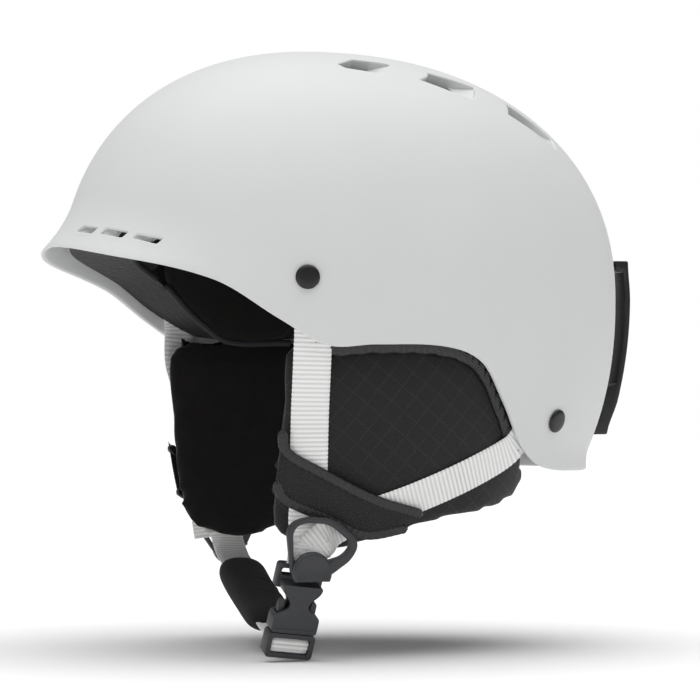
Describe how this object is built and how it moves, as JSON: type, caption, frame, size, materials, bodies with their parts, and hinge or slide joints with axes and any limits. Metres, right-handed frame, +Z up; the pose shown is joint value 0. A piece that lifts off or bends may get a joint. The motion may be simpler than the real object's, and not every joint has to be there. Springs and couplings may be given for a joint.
{
  "type": "ski helmet",
  "caption": "Hard-shell ski helmet with foam liner, soft ear pads, webbing straps, a side-release chin buckle with a padded sleeve and a hinged goggle clip at the back.",
  "frame": {"origin": "centre of the wearer's head, on the helmet's mid-plane, level with the widest section of the shell", "axes": "+X to the wearer's left, -Y to the front of the face, +Y to the back of the head, +Z up to the crown"},
  "size_m": [0.2292, 0.3016, 0.2948],
  "materials": {
    "shell_plastic": "matt white moulded ABS",
    "foam": "black expanded polystyrene foam",
    "liner_fabric": "black brushed fleece",
    "ear_nylon": "black woven ripstop nylon",
    "webbing": "white ribbed polyester webbing",
    "black_plastic": "black moulded acetal, fine texture",
    "black_cap": "black painted rivet cap",
    "pin_steel": "drawn steel pin"
  },
  "bodies": {
    "root": {"shell": "shell_plastic", "eps_liner": "foam", "goggle_clip_pin": "pin_steel", "brow_pad": "liner_fabric", "crown_pad": "liner_fabric", "rear_pad": "liner_fabric", "side_pad_left": "liner_fabric", "side_pad_right": "liner_fabric", "ear_pad_left": "ear_nylon", "ear_pad_right": "ear_nylon", "ear_band_left": "ear_nylon", "ear_band_right": "ear_nylon", "fit_elastic_left": "ear_nylon", "fit_elastic_right": "ear_nylon", "front_strap_left": "webbing", "front_strap_right": "webbing", "rear_strap_left": "webbing", "rear_strap_right": "webbing", "goggle_clip_base": "black_plastic", "rivet_front_left": "black_cap", "rivet_front_right": "black_cap", "rivet_rear_left": "black_cap", "rivet_rear_right": "black_cap", "strap_anchor_front_left": "black_plastic", "strap_anchor_front_right": "black_plastic", "strap_anchor_rear_left": "black_plastic", "strap_anchor_rear_right": "black_plastic"},
    "chin_strap": {"strap_divider_left": "black_plastic", "strap_divider_right": "black_plastic", "divider_disc_left": "black_plastic", "divider_disc_right": "black_plastic", "chin_strap_left": "webbing", "chin_strap_right": "webbing", "chin_pad": "liner_fabric", "buckle_female": "black_plastic"},
    "buckle_male": {"buckle_male": "black_plastic"},
    "arm_front": {"buckle_arm_front": "black_plastic"},
    "arm_rear": {"buckle_arm_rear": "black_plastic"},
    "goggle_clip": {"goggle_clip": "black_plastic"},
    "fit_band": {"fit_band": "black_plastic"}
  },
  "joints": [
    {"name": "chin_strap_swing", "type": "hinge", "parent": "root", "child": "chin_strap", "pos_m": [0, -0.042, -0.107], "axis": [1, 0, 0], "range_deg": [-15, 6], "deforming": ["front_strap_left", "front_strap_right", "rear_strap_left", "rear_strap_right"]},
    {"name": "buckle_release", "type": "slide", "parent": "chin_strap", "child": "buckle_male", "axis": [-0.342, -0.1064, -0.9337], "range_m": [0, 0.03], "deforming": ["chin_strap_right", "chin_strap_left"]},
    {"name": "buckle_arm_front_press", "type": "hinge", "parent": "buckle_male", "child": "arm_front", "pos_m": [0.08338, -0.06253, -0.15826], "axis": [-0.9397, 0.0387, 0.3398], "range_deg": [0, 7], "stiffness_Nm_per_rad": 0.004},
    {"name": "buckle_arm_rear_press", "type": "hinge", "parent": "buckle_male", "child": "arm_rear", "pos_m": [0.08338, -0.04723, -0.16], "axis": [0.9397, -0.0387, -0.3398], "range_deg": [0, 7], "stiffness_Nm_per_rad": 0.004},
    {"name": "goggle_clip_open", "type": "hinge", "parent": "root", "child": "goggle_clip", "pos_m": [0, 0.1412, 0.0175], "axis": [1, 0, 0], "range_deg": [0, 60]},
    {"name": "fit_band_adjust", "type": "slide", "parent": "root", "child": "fit_band", "axis": [0, 1, 0], "range_m": [0, 0.006], "stiffness_N_per_m": 150, "deforming": ["fit_elastic_left", "fit_elastic_right"]}
  ],
  "couplings": [
    {"joint": "buckle_arm_rear_press", "follows": "buckle_arm_front_press", "ratio": 1}
  ]
}
